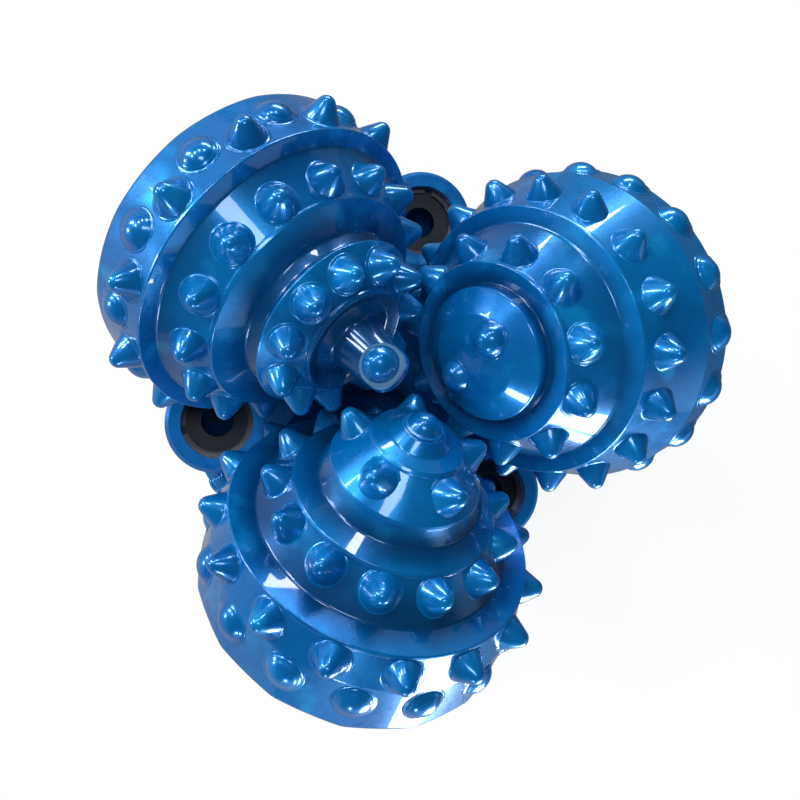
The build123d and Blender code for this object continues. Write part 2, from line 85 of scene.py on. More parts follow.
class Board:
    def __init__(self, tree):
        self.tree = tree

    def node(self, kind, settings=None, links=None, out=0):
        made = self.tree.nodes.new(kind)
        for name, value in (settings or {}).items():
            if name == "stops":
                ramp = made.color_ramp
                while len(ramp.elements) < len(value):
                    ramp.elements.new(1)
                for element, (place, shade) in zip(ramp.elements, value):
                    element.position, element.color = place, shade
            else:
                setattr(made, name, value)
        for name, value in (links or {}).items():
            if isinstance(value, Wire):
                self.tree.links.new(value.socket, made.inputs[name])
            else:
                made.inputs[name].default_value = value
        return Wire(self, made.outputs[out])

    def maths(self, operation, a, b=0.0, clamp=False):
        return self.node("ShaderNodeMath", {"operation": operation, "use_clamp": clamp}, {0: a, 1: b})

    def blend(self, share, a, b):
        return self.node("ShaderNodeMix", {"data_type": "RGBA"}, {0: share, 6: a, 7: b}, 2)

    def noise(self, place, scale, detail=2.0):
        return self.node("ShaderNodeTexNoise", None, {"Vector": place, "Scale": scale, "Detail": detail})

    def step(self, value, low, high):
        # smooth 0 to 1 as value goes from low to high
        return self.node("ShaderNodeMapRange", {"interpolation_type": "SMOOTHSTEP"},
                         {"Value": value, "From Min": low, "From Max": high})


# Camera
camera = {"place": (-59.14, -3.63, 513.03), "aim": (-12.88, 14.65, 240), "roll": 0.264,
          "lens": 41.3, "shiftY": -0.0875, "sensor": 36, "near": 0.01, "far": 50}


def makeCamera():
    data = bpy.data.cameras.new("camera")
    data.lens, data.shift_y = camera["lens"], camera["shiftY"]
    data.sensor_width, data.clip_start, data.clip_end = camera["sensor"], camera["near"], camera["far"]
    place, aim = Vector(camera["place"]) * mm, Vector(camera["aim"]) * mm
    ahead = (aim - place).normalized()
    right = ahead.cross(Vector((0, 1, 0))).normalized()
    up = right.cross(ahead)
    roll = camera["roll"]
    tiltedRight = right * math.cos(roll) + up * math.sin(roll)
    tiltedUp = up * math.cos(roll) - right * math.sin(roll)
    made = bpy.data.objects.new("camera", data)
    turned = Matrix((tiltedRight, tiltedUp, -ahead)).transposed().to_4x4()
    made.matrix_world = Matrix.Translation(place) @ turned
    scene.collection.objects.link(made)
    scene.camera = made


makeCamera()
print("camera set")

# Finishes: colours, then the scale of each noise and where its patches begin and end
enamelLook = {"deep": (0.0, 0.13, 0.42, 1), "main": (0.001, 0.18, 0.51, 1), "light": (0.004, 0.25, 0.63, 1),
              "pale": (0.2, 0.42, 0.68, 1), "groove": (0.0, 0.03, 0.12, 1), "metallic": 0.42,
              "thick": 28, "thickEdges": (0.38, 0.66), "worn": 75, "wornEdges": (0.56, 0.74),
              "grooveEdges": (0.0, 0.9), "grooveShare": 0.75, "rough": 0.2, "roughSpread": 0.16,
              "peel": 260, "peelDepth": 0.00005, "peelStrength": 0.3,
              "sag": 34, "sagDepth": 0.0007, "sagStrength": 0.4}
clearCoat = {"Coat Roughness": 0.03, "Coat IOR": 1.45, "Specular IOR Level": 0.25}
thinCoat = {"Coat Weight": 0.6, "Coat Roughness": 0.12, "Roughness": 0.4, "Metallic": 0.3}
phosphateLook = {"dark": (0.035, 0.036, 0.038, 1), "light": (0.11, 0.112, 0.115, 1), "cloud": 140,
                 "metallic": 0.75, "roughness": 0.42}
# in metres: where the enamel ends on the pin, and the chamber between the three legs, where shade is painted
# into the enamel
pinLook = {"edge": 0.1055, "edgeRun": 0.0012, "ragged": 90, "raggedDepth": 0.004,
           "chamberRadius": (0.06, 0.085), "chamberHeight": (0.138, 0.16), "chamberShade": 0.92}
metalLook = {"grain": 900, "grainDepth": 0.00003, "grainStrength": 0.2, "grainSpread": 0.14,
             "cloud": 60, "cloudShade": 0.72}


def newMaterial(name):
    made = bpy.data.materials.new(name)
    made.use_nodes = True
    made.node_tree.nodes.clear()
    board = Board(made.node_tree)
    place = board.node("ShaderNodeTexCoord", None, None, "Object")
    return made, board, place


def closeMaterial(board, shader):
    end = board.tree.nodes.new("ShaderNodeOutputMaterial")
    board.tree.links.new(shader.socket, end.inputs["Surface"])


def enamelParts(board, place):
    look = enamelLook
    thick = board.step(board.noise(place, look["thick"], 3), *look["thickEdges"])
    colour = board.blend(thick, look["deep"], look["main"])
    worn = board.step(board.noise(place, look["worn"], 2), *look["wornEdges"])
    colour = board.blend(worn, colour, look["light"])
    # painted shade: the deeper a point lies in a groove, the more its colour turns to a near-black blue
    hollow = board.node("ShaderNodeAttribute", {"attribute_name": "hollow"}, None, "Fac")
    shade = board.step(hollow, *look["grooveEdges"]) * look["grooveShare"]
    colour = board.blend(shade, colour, look["groove"])
    peel = board.noise(place, look["peel"], 2)
    sag = board.noise(place, look["sag"], 1)
    bump = board.node("ShaderNodeBump", None, {
        "Strength": look["sagStrength"], "Distance": look["sagDepth"], "Height": sag})
    bump = board.node("ShaderNodeBump", None, {
        "Strength": look["peelStrength"], "Distance": look["peelDepth"], "Height": peel, "Normal": bump})
    return colour, peel * look["roughSpread"] + look["rough"], bump


def blueEnamel():
    made, board, place = newMaterial("blueEnamel")
    colour, roughness, bump = enamelParts(board, place)
    closeMaterial(board, board.node("ShaderNodeBsdfPrincipled", None, {
        "Base Color": colour, "Roughness": roughness, "Metallic": enamelLook["metallic"],
        "Coat Weight": 1.0, "Normal": bump, **clearCoat}))
    return made


def thinEnamel():
    # the paler paint on the flat spot of cone A
    made, board, place = newMaterial("thinEnamel")
    colour, roughness, bump = enamelParts(board, place)
    closeMaterial(board, board.node("ShaderNodeBsdfPrincipled", None, {
        "Base Color": board.blend(0.8, colour, enamelLook["pale"]), "Normal": bump, **thinCoat}))
    return made


def pinnedEnamel():
    # enamel above the shoulder, with painted shade in the chamber between the legs, and dark phosphate on the
    # pin below it
    made, board, place = newMaterial("enamelAndPhosphate")
    colour, roughness, bump = enamelParts(board, place)
    height = board.node("ShaderNodeSeparateXYZ", None, {"Vector": place}, 2)
    flat = board.node("ShaderNodeVectorMath", {"operation": "MULTIPLY"}, {0: place, 1: (1, 1, 0)})
    middle = board.node("ShaderNodeVectorMath", {"operation": "LENGTH"}, {0: flat}, 1)
    # painted shade: the enamel inside the chamber between the three legs is darkened towards a near-black blue
    within = 1.0 - board.step(middle, *pinLook["chamberRadius"])
    chamber = within * board.step(height, *pinLook["chamberHeight"])
    colour = board.blend(chamber * pinLook["chamberShade"], colour, enamelLook["groove"])
    ragged = height + board.noise(place, pinLook["ragged"], 3) * pinLook["raggedDepth"]
    painted = board.step(ragged, pinLook["edge"], pinLook["edge"] + pinLook["edgeRun"])
    cloud = board.noise(place, phosphateLook["cloud"], 4)
    bare = board.blend(cloud, phosphateLook["dark"], phosphateLook["light"])
    bareMetallic, bareRoughness = phosphateLook["metallic"], phosphateLook["roughness"]
    closeMaterial(board, board.node("ShaderNodeBsdfPrincipled", None, {
        "Base Color": board.blend(painted, bare, colour),
        "Metallic": bareMetallic - painted * (bareMetallic - enamelLook["metallic"]),
        "Roughness": bareRoughness + painted * (roughness - bareRoughness),
        "Coat Weight": painted, "Normal": bump, **clearCoat}))
    return made


def plainMetal(name, colour, roughness, metallic=1.0):
    made, board, place = newMaterial(name)
    look = metalLook
    grain = board.noise(place, look["grain"], 3)
    shaded = tuple(c * look["cloudShade"] for c in colour) + (1,)
    bump = board.node("ShaderNodeBump", None, {
        "Strength": look["grainStrength"], "Distance": look["grainDepth"], "Height": grain})
    cloud = board.noise(place, look["cloud"], 2)
    closeMaterial(board, board.node("ShaderNodeBsdfPrincipled", None, {
        "Base Color": board.blend(cloud, shaded, colour + (1,)), "Metallic": metallic, "Normal": bump,
        "Roughness": grain * look["grainSpread"] + (roughness - look["grainSpread"] / 2)}))
    return made


blue = blueEnamel()
pale = thinEnamel()
bluePin = pinnedEnamel()
ballSteel = plainMetal("ballSteel", (0.62, 0.63, 0.65), 0.14)
bushingBronze = plainMetal("bushingBronze", (0.66, 0.42, 0.19), 0.3)
sealRubber = plainMetal("sealRubber", (0.022, 0.022, 0.024), 0.55, 0.0)
nozzleCarbide = plainMetal("nozzleCarbide", (0.045, 0.048, 0.055), 0.4)
springSteel = plainMetal("springSteel", (0.1, 0.105, 0.12), 0.4)
phosphate = plainMetal("threadPhosphate", (0.085, 0.087, 0.09), 0.42, 0.8)
print("finishes made")


# Meshes
latheSteps = {"shell": 240, "cutter": 96, "insert": 40}


def newObject(name, mesh):
    made = bpy.data.objects.new(name, mesh)
    scene.collection.objects.link(made)
    return made


def lathe(name, rings, steps, wave=None):
    # rings are (radius, height) in millimetres about local z, and the loop of rings closes on itself
    # unless it starts and ends on the axis; wave(angle, radius, height) may move a radius
    bm = bmesh.new()
    rows = []
    for radius, height in rings:
        if radius < 1e-6:
            rows.append([bm.verts.new((0, 0, height * mm))])
            continue
        row = []
        for i in range(steps):
            angle = 2 * math.pi * i / steps
            size = wave(angle, radius, height) if wave else radius
            x, y = size * mm * math.cos(angle), size * mm * math.sin(angle)
            row.append(bm.verts.new((x, y, height * mm)))
        rows.append(row)
    pairs = list(zip(rows, rows[1:]))
    if len(rows[0]) > 1 or len(rows[-1]) > 1:
        pairs.append((rows[-1], rows[0]))
    for low, high in pairs:
        for i in range(steps):
            j = (i + 1) % steps
            corners = [low[i % len(low)], low[j % len(low)], high[j % len(high)], high[i % len(high)]]
            corners = list(dict.fromkeys(corners))
            if len(corners) > 2:
                bm.faces.new(corners)
    bmesh.ops.recalc_face_normals(bm, faces=bm.faces)
    mesh = bpy.data.meshes.new(name)
    bm.to_mesh(mesh)
    bm.free()
    for face in mesh.polygons:
        face.use_smooth = True
    return mesh


def roundedLine(corners, radii, steps=6, share=0.48):
    # corners joined by straight runs, each inner corner rounded over no more than a share of its runs
    points = [Vector(corners[0])]
    for before, here, after, radius in zip(corners, corners[1:], corners[2:], radii):
        here = Vector(here)
        back, ahead = Vector(before) - here, Vector(after) - here
        half = back.angle(ahead) / 2
        reach = min(radius / math.tan(half), back.length * share, ahead.length * share)
        start, end = here + back.normalized() * reach, here + ahead.normalized() * reach
        for i in range(steps + 1):
            t = i / steps
            points.append(start * (1 - t) ** 2 + here * (2 * t * (1 - t)) + end * t ** 2)
    points.append(Vector(corners[-1]))
    return points


def smoothByAngle(mesh, degrees=38):
    mesh.set_sharp_from_angle(angle=math.radians(degrees))


# Cone shells: the CAD's outlines as (reach, radius), with a bead of paint along each edge of a land
coneOutlines = {
    "a": {"corners": [(67.0, 54.9), (66.2, 49.6), (50.5, 39.8), (46.8, 30.0), (42.5, 28.6), (39.4, 31.2),
                      (29.8, 18.2), (31.6, 14.2), (29.6, 9.6), (20.0, 8.3), (10.2, 7.2), (10.2, 0.0)],
          "rounds": [1.2, 1.6, 1.4, 2.0, 1.6, 1.2, 1.2, 2.0, 2.4, 3.0, 6.9], "lips": [0, 2, 5, 6],
          "count": 12, "facet": 0.15},
    "b": {"corners": [(76.0, 55.2), (51.0, 46.0), (50.2, 40.5), (32.5, 29.6), (34.0, 22.8),
                      (29.4, 22.3), (24.6, 14.6), (22.2, 5.0), (22.0, 0.0)],
          "rounds": [0.8, 1.4, 1.8, 1.4, 0.9, 1.4, 5.0, 2.0], "lips": [0, 1, 3],
          "count": 17, "facet": 0.2},
    "c": {"corners": [(72.0, 55.0), (58.5, 51.8), (57.6, 43.6), (43.6, 33.8), (40.5, 27.2), (36.5, 26.0),
                      (32.3, 24.9), (20.5, 14.5), (18.9, 10.2), (15.0, 7.2), (14.4, 0.0)],
          "rounds": [4.0, 1.2, 1.6, 1.2, 1.6, 1.4, 1.6, 1.4, 1.6, 1.0], "lips": [1, 3, 6, 7],
          "count": 15, "facet": 0.55},
}
rimCorners, rimRounds = [(94.0, 51.5), (91.6, 55.9)], [1.2, 1.8]
bore = {"outer": 29.0, "glandBack": 92.7, "glandFront": 87.5, "gland": 31.6, "floor": 70.25, "bushing": 29.05,
        "flange": 26.9, "step": 57.9, "pilot": 15.05, "end": 39.9,
        "raceFront": 61.0, "raceArch": [(61.8, 31.8), (64.0, 32.5), (66.2, 31.8)], "raceBack": 67.0}
lip = {"width": 1.3, "height": 0.5, "run": 0.45, "end": 0.1, "rounds": [0.5, 0.35, 0.6]}
rimFlats = {"clear": 5, "run": 8}
hollowDepth = {"from": 1.0, "over": 7.0}


def withLips(corners, radii, lips):
    # a raised bead ends the land that comes before each lipped corner
    newCorners, newRadii = [], []
    for i, corner in enumerate(corners):
        if i in lips and i > 0:
            here, before = Vector(corner), Vector(corners[i - 1])
            back = (before - here).normalized()
            out = Vector((back.y, -back.x))
            out = out if out.y > 0 else -out
            newCorners += [here + back * (lip["width"] + lip["run"]),
                           here + back * lip["width"] + out * lip["height"],
                           here + back * lip["end"] + out * lip["height"]]
            newRadii += lip["rounds"]
        else:
            newCorners.append(Vector(corner))
            newRadii.append(radii[i])
    return newCorners, newRadii


def cutSpot(mesh):
    # the flat spot on the rounded nose of cone A, where its last insert stands askew
    turn, tilt = math.radians(insertRows["a"][-1][2]), askewSeat["tilt"]
    spoke, around = Vector((math.cos(turn), math.sin(turn), 0)), Vector((-math.sin(turn), math.cos(turn), 0))
    facing = spoke * math.cos(tilt) - Vector((0, 0, math.sin(tilt)))
    seat = (spoke * askewSeat["radius"] + Vector((0, 0, askewSeat["reach"]))) * mm
    size, soft, tall = askewSeat["spot"], askewSeat["bevel"], askewSeat["cutter"]
    rings = [(0, 0), (size - soft, 0), (size - 0.3 * soft, 0.3 * soft), (size, soft),
             (size + 1, tall), (0, tall)]
    tool = newObject("spotCutter", lathe("spotCutter", rings, latheSteps["cutter"]))
    tool.data.materials.append(pale)
    turned = Matrix((facing.cross(around) * -1, around, facing)).transposed().to_4x4()
    tool.matrix_world = Matrix.Translation(seat) @ turned
    made = newObject("spotted", mesh)
    cut = made.modifiers.new("spot", "BOOLEAN")
    cut.operation, cut.solver, cut.object, cut.material_mode = "DIFFERENCE", "EXACT", tool, "TRANSFER"
    bpy.context.view_layer.update()
    result = bpy.data.meshes.new_from_object(made.evaluated_get(bpy.context.evaluated_depsgraph_get()))
    bpy.data.objects.remove(made)
    bpy.data.objects.remove(tool)
    return result


def markHollows(mesh, corners):
    # an attribute from 0 on the lands to 1 in the grooves, by which shade is painted into the grooves
    profile = [Vector(corner) for corner in rimCorners + corners]
    peaks = [profile[0]]
    for i, point in enumerate(profile[1:]):
        while len(peaks) > 1 and (peaks[-1] - peaks[-2]).cross(point - peaks[-1]) < 0:
            peaks.pop()
        peaks.append(point)
    hollow = mesh.attributes.new("hollow", "FLOAT", "POINT")
    for vertex, item in zip(mesh.vertices, hollow.data):
        reach, radius = vertex.co.z / mm, math.hypot(vertex.co.x, vertex.co.y) / mm
        top = next((a.y + (b.y - a.y) * (reach - a.x) / (b.x - a.x) for a, b in zip(peaks, peaks[1:])
                    if b.x < reach <= a.x and a.x - b.x > 0.01), radius)
        item.value = max(0, min(1, (top - radius - hollowDepth["from"]) / hollowDepth["over"]))


def makeConeShell(cone, azimuth):
    spec = coneOutlines[cone]
    corners = rimCorners + spec["corners"]
    radii = rimRounds + spec["rounds"] + [1]
    corners, radii = withLips(corners, radii, [i + 2 for i in spec["lips"]])
    start = Vector((rimCorners[0][0], bore["outer"]))
    line = roundedLine([start] + corners, radii)
    inside = [(bore["end"], 0), (bore["end"], bore["pilot"]), (bore["step"], bore["pilot"]),
              (bore["step"], bore["flange"]), (bore["raceFront"], bore["flange"]), *bore["raceArch"],
              (bore["raceBack"], bore["flange"]), (bore["floor"], bore["flange"]),
              (bore["floor"], bore["bushing"]),
              (bore["glandFront"], bore["bushing"]), (bore["glandFront"], bore["gland"]),
              (bore["glandBack"], bore["gland"]), (bore["glandBack"], bore["outer"])]
    rings = [(radius, reach) for reach, radius in inside] + [(point.y, point.x) for point in line]
    sector = 2 * math.pi / spec["count"]
    lead = math.radians(heelTurns[cone])

    def facet(angle, radius, reach):
        # the rim is cut in slight flats from one heel insert to the next
        if reach < spec["corners"][0][0] or radius < bore["gland"] + rimFlats["clear"]:
            return radius
        aside = (angle - lead) % sector - sector / 2
        flat = math.cos(sector / 2) / math.cos(aside)
        near = min(1, (reach - spec["corners"][0][0]) / rimFlats["run"])
        return radius * (1 - (1 - flat) * spec["facet"] * near)

    mesh = lathe(f"cone{cone.upper()}Shell", rings, latheSteps["shell"], facet)
    mesh.materials.append(blue)
    if cone == "a":
        mesh = cutSpot(mesh)
    markHollows(mesh, spec["corners"])
    mesh.transform(journalFrame(azimuth))
    smoothByAngle(mesh)
    made = newObject(f"cone{cone.upper()}Shell", mesh)
    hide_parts(f"cone_{cone}_shell")
    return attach(made, f"cone_{cone}")


# Insert rows: name, count, turn of the first, the two corners of the land, how far along the land, crest, size
insertRows = {
    "a": [("heel", 12, 296.0, 1, 2, 0.45, "dome", 6.0), ("gauge", 12, 281.0, 1, 2, 0.665, "conical", 6.0),
          ("middle", 15, 274.4, 3, 4, 0.59, "conical", 6.0), ("inner", 11, 269.3, 7, 8, 0.47, "conical", 5.4),
          ("nose", 1, 9.5, 10, 11, 0.0, "noseDome", 5.4)],
    "b": [("heel", 17, 283.0, 1, 2, 0.36, "dome", 6.0), ("gauge", 17, 260.1, 2, 3, 0.62, "conical", 6.0),
          ("middle", 11, 256.1, 4, 5, 0.64, "conical", 6.0), ("nose", 2, 28.1, 8, 9, 0.49, "noseDome", 5.4)],
    "c": [("heel", 15, 287.1, 1, 2, 0.64, "dome", 6.0), ("gauge", 15, 251.0, 2, 3, 0.46, "conical", 6.0),
          ("middle", 13, 273.3, 4, 5, 0.58, "conical", 6.0), ("inner", 5, 252.7, 8, 9, 0.5, "conical", 6.0),
          ("nose", 1, 0.0, 11, 12, 1.0, "noseDome", 5.4)],
}
# an insert row with no share stands askew on a flat spot of the rounded nose
askewSeat = {"reach": 15.8, "radius": 2.7, "tilt": math.radians(50), "spot": 7.1, "bevel": 0.45, "cutter": 12}
heelTurns = {cone: rows[0][2] for cone, rows in insertRows.items()}
crests = {"dome": {"height": 3.1}, "noseDome": {"height": 4.2},
          "conical": {"height": 7.4, "foot": 0.8, "tip": 3.1}}
shank = {"depth": 4, "side": 3, "chamfer": 0.4}
fillet = {"spread": 1.25, "rise": 0.75, "domeRise": 0.6, "sink": 0.35, "bury": 0.03, "gap": 0.12, "steps": 4}
# heights between which an insert's foot stops following the land's curve
footBend = {"bottom": -1.5, "top": 1.6, "run": 1.2}
flatLand = 1e6


def crestLine(shape, size, domeSteps=9, tipSteps=6):
    # from the top of the shank to the crest's pole, as (radius, height)
    spec = crests[shape]
    height = spec["height"]
    if "tip" not in spec:
        ball = (size * size + height * height) / (2 * height)
        low = math.asin((ball - height) / ball)
        turns = [low + (math.pi / 2 - low) * i / domeSteps for i in range(domeSteps + 1)]
        return [(ball * math.cos(turn), height - ball + ball * math.sin(turn)) for turn in turns]
    tip, foot = spec["tip"], spec["foot"]
    drop = height - tip - foot
    low = math.acos(tip / math.hypot(size, drop)) - math.atan2(drop, size)
    turns = [low + (math.pi / 2 - low) * i / tipSteps for i in range(tipSteps + 1)]
    return [(size, foot)] + [(tip * math.cos(turn), height - tip + tip * math.sin(turn)) for turn in turns]


def insertPattern(name, shape, size, bend):
    # one insert with the paint that has gathered round its foot; bend is the land's radius across it
    crest = crestLine(shape, size)
    rise = fillet["rise"] if shape == "conical" else fillet["rise"] * fillet["domeRise"]
    around = []
    for i in range(fillet["steps"] + 1):
        t = i / fillet["steps"]
        around.append((size + fillet["spread"] * (1 - t) ** 2, rise * t * t - fillet["bury"]))
    clear = around[-1][1] + fillet["gap"]
    crest = [(radius, height) for radius, height in crest if height > clear or radius < size * 0.8]
    rings = [(0, -shank["depth"]), (size - shank["chamfer"], -shank["depth"]), (size, -shank["side"]),
             (size + fillet["spread"], -fillet["sink"])] + around + crest[:-1] + [(0, crest[-1][1])]
    mesh = lathe(name, rings, latheSteps["insert"])
    for vertex in mesh.vertices:
        height = vertex.co.z / mm
        if height > footBend["bottom"]:
            share = max(0, min(1, (footBend["top"] - height) / footBend["run"]))
            across = (vertex.co.y / mm) ** 2 / (2 * bend)
            vertex.co.z -= across * share * mm
    return newObject(name, mesh)


def newTree(name, inputs):
    tree = bpy.data.node_groups.new(name, "GeometryNodeTree")
    tree.interface.new_socket("Geometry", in_out="OUTPUT", socket_type="NodeSocketGeometry")
    tree.interface.new_socket("Geometry", in_out="INPUT", socket_type="NodeSocketGeometry")
    for label, kind in inputs.items():
        tree.interface.new_socket(label, in_out="INPUT", socket_type="NodeSocket" + kind)
    board = Board(tree)
    start = tree.nodes.new("NodeGroupInput")
    values = {socket.name: Wire(board, socket) for socket in start.outputs if socket.name}
    return tree, board, values


def endTree(board, geometry, finish):
    real = board.node("GeometryNodeRealizeInstances", None, {"Geometry": geometry})
    painted = board.node("GeometryNodeSetMaterial", None, {"Geometry": real, "Material": finish})
    end = board.tree.nodes.new("NodeGroupOutput")
    board.tree.links.new(painted.socket, end.inputs[0])


def runTree(name, tree, values, source=None):
    # runs the tree on source, or on an empty mesh, and keeps the result as a plain mesh
    holder = newObject(name + "Holder", source or bpy.data.meshes.new(name + "Holder"))
    modifier = holder.modifiers.new(name, "NODES")
    modifier.node_group = tree
    for item in tree.interface.items_tree:
        if item.in_out == "INPUT" and item.name in values:
            modifier[item.identifier] = values[item.name]
    bpy.context.view_layer.update()
    graph = bpy.context.evaluated_depsgraph_get()
    mesh = bpy.data.meshes.new_from_object(holder.evaluated_get(graph))
    mesh.name = name
    bpy.data.objects.remove(holder)
    return mesh


def insertRowTree():
    tree, board, value = newTree("insertRow", {
        "Insert": "Object", "Count": "Int", "Row Radius": "Float", "Reach": "Float", "Turn": "Float",
        "Tilt": "Float", "Finish": "Material"})
    points = board.node("GeometryNodePoints", None, {"Count": value["Count"]})
    index = board.node("GeometryNodeInputIndex")
    angle = index * (2 * math.pi) * board.maths("DIVIDE", 1.0, value["Count"]) + value["Turn"]
    cosine, sine = board.maths("COSINE", angle), board.maths("SINE", angle)
    seat = board.node("ShaderNodeCombineXYZ", None, {
        0: cosine * value["Row Radius"], 1: sine * value["Row Radius"], 2: value["Reach"]})
    flat, down = board.maths("COSINE", value["Tilt"]), board.maths("SINE", value["Tilt"])
    facing = board.node("ShaderNodeCombineXYZ", None, {0: cosine * flat, 1: sine * flat, 2: 0.0 - down})
    around = board.node("ShaderNodeCombineXYZ", None, {0: 0.0 - sine, 1: cosine, 2: 0.0})
    seated = board.node("GeometryNodeSetPosition", None, {"Geometry": points, "Position": seat})
    turned = board.node("FunctionNodeAxesToRotation", {"primary_axis": "Z", "secondary_axis": "Y"},
                        {0: facing, 1: around})
    insert = board.node("GeometryNodeObjectInfo", None, {"Object": value["Insert"]}, "Geometry")
    row = board.node("GeometryNodeInstanceOnPoints", None, {
        "Points": seated, "Instance": insert, "Rotation": turned})
    endTree(board, row, value["Finish"])
    return tree


def makeInsertRow(cone, azimuth, row, tree):
    name, count, turn, start, end, share, shape, size = row
    corners = rimCorners + coneOutlines[cone]["corners"]
    first, last = Vector(corners[start]), Vector(corners[end])
    seat = first.lerp(last, share)
    tilt = math.atan2(first.y - last.y, first.x - last.x)
    bend = seat.y / math.cos(tilt) if 0 < share < 1 else flatLand
    if share == 1:
        tilt, seat = math.pi / 2, Vector((seat.x, 0))
    if share == 0:
        tilt, seat = askewSeat["tilt"], Vector((askewSeat["reach"], askewSeat["radius"]))
    label = f"cone{cone.upper()}{name.capitalize()}Inserts"
    pattern = insertPattern(label + "Pattern", shape, size, bend)
    mesh = runTree(label, tree, {
        "Insert": pattern, "Count": count, "Row Radius": seat.y * mm, "Reach": seat.x * mm,
        "Turn": math.radians(turn), "Tilt": tilt, "Finish": blue})
    bpy.data.objects.remove(pattern)
    mesh.transform(journalFrame(azimuth))
    made = newObject(label, mesh)
    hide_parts(f"cone_{cone}_{name}_inserts")
    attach(made, f"cone_{cone}")


rowTree = insertRowTree()
for cone, azimuth in layout["azimuth"].items():
    makeConeShell(cone, azimuth)
    for row in insertRows[cone]:
        makeInsertRow(cone, azimuth, row, rowTree)
    print("cone", cone, "dressed")

# Thread on the pin: one long trapezoid ridge wound on the root cone
threadSpec = {"pitch": 5.08, "start": 3.2, "turns": 17.6, "rootRadius": 42.25, "taper": 0.1417, "depth": 2.99,
              "foot": 4.7, "crest": 1.3, "sink": 0.35, "perTurn": 96, "fade": 0.8, "pinch": 0.011}


def threadTree():
    # five points to a section, the fifth back on the first, and both ends of the ridge pinched to a point
    tree, board, value = newTree("pinThread", {
        "Pitch": "Float", "Turns": "Float", "Root Radius": "Float", "Taper": "Float", "Depth": "Float",
        "Foot": "Float", "Crest": "Float", "Sink": "Float", "Start": "Float", "Per Turn": "Int",
        "Fade": "Float", "Finish": "Material"})
    last = board.maths("FLOOR", value["Turns"] * value["Per Turn"])
    grid = board.node("GeometryNodeMeshGrid", None, {"Vertices X": last + 1.0, "Vertices Y": 5})
    index = board.node("GeometryNodeInputIndex")
    along = board.maths("FLOOR", board.maths("DIVIDE", index + 0.5, 5.0))
    column = index - along * 5.0
    column = column * board.maths("LESS_THAN", column, 3.5)
    turn = board.maths("DIVIDE", along, value["Per Turn"])
    crest = 1.5 - board.maths("ABSOLUTE", column - 1.5)
    ends = board.maths("MINIMUM", turn, value["Turns"] - turn)
    fade = board.maths("MINIMUM", board.maths("DIVIDE", ends, value["Fade"]), 1.0)
    pinch = board.maths("GREATER_THAN", ends, threadSpec["pinch"])
    third = board.maths("DIVIDE", value["Foot"], 3.0)
    aside = (column - 1.5) * (third + crest * (value["Crest"] - third)) * pinch
    middle = value["Start"] + turn * value["Pitch"]
    radius = value["Root Radius"] + middle * value["Taper"] - value["Sink"]
    radius = radius + crest * pinch * fade * (value["Depth"] + value["Sink"])
    angle = turn * (2 * math.pi)
    spot = board.node("ShaderNodeCombineXYZ", None, {0: board.maths("COSINE", angle) * radius,
                                                     1: board.maths("SINE", angle) * radius, 2: middle + aside})
    wound = board.node("GeometryNodeSetPosition", None, {"Geometry": grid, "Position": spot})
    joined = board.node("GeometryNodeMergeByDistance", None, {"Geometry": wound, "Distance": 1e-6})
    endTree(board, joined, value["Finish"])
    return tree


def facingOut(mesh):
    bm = bmesh.new()
    bm.from_mesh(mesh)
    bmesh.ops.recalc_face_normals(bm, faces=bm.faces)
    bm.to_mesh(mesh)
    bm.free()
    return mesh


def makeThread():
    spec = threadSpec
    mesh = runTree("pinThread", threadTree(), {
        "Pitch": spec["pitch"] * mm, "Turns": spec["turns"], "Root Radius": spec["rootRadius"] * mm,
        "Taper": spec["taper"], "Depth": spec["depth"] * mm, "Foot": spec["foot"] * mm,
        "Crest": spec["crest"] * mm, "Sink": spec["sink"] * mm, "Start": spec["start"] * mm,
        "Per Turn": spec["perTurn"], "Fade": spec["fade"], "Finish": phosphate})
    made = newObject("pinThread", facingOut(mesh))
    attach(made, "bit_body")


# Weld beads down the three seams between the legs
weldSpec = {"line": [(69.6, 112), (69.8, 117.5), (78.8, 134.0), (75.0, 138.2), (66, 142.5), (56, 146.5)],
            "seams": (109, 229, 349), "step": 1.5, "width": 3.4, "length": 1.9, "rise": 1.3,
            "ripple": {2: 0.86, 3: 1.08, "Seed": 7}}


def weldTree():
    tree, board, value = newTree("weldBead", {
        "Step": "Float", "Width": "Float", "Length": "Float", "Rise": "Float", "Finish": "Material"})
    line = board.node("GeometryNodeMeshToCurve", None, {"Mesh": value["Geometry"]})
    even = board.node("GeometryNodeResampleCurve", {"mode": "LENGTH"}, {"Curve": line, "Length": value["Step"]})
    drop = board.node("GeometryNodeMeshIcoSphere", None, {"Radius": 1.0, "Subdivisions": 3})
    size = board.node("ShaderNodeCombineXYZ", None, {0: value["Width"], 1: value["Rise"], 2: value["Length"]})
    ripple = board.node("FunctionNodeRandomValue", {"data_type": "FLOAT"}, weldSpec["ripple"], 1)
    size = board.node("ShaderNodeVectorMath", {"operation": "SCALE"}, {0: size, "Scale": ripple})
    tangent = board.node("GeometryNodeInputTangent")
    place = board.node("GeometryNodeInputPosition")
    outwards = board.node("ShaderNodeVectorMath", {"operation": "MULTIPLY"}, {0: place, 1: (1, 1, 0)})
    turned = board.node("FunctionNodeAxesToRotation", {"primary_axis": "Z", "secondary_axis": "Y"},
                        {0: tangent, 1: outwards})
    beads = board.node("GeometryNodeInstanceOnPoints", None, {
        "Points": even, "Instance": drop, "Rotation": turned, "Scale": size})
    endTree(board, beads, value["Finish"])
    return tree


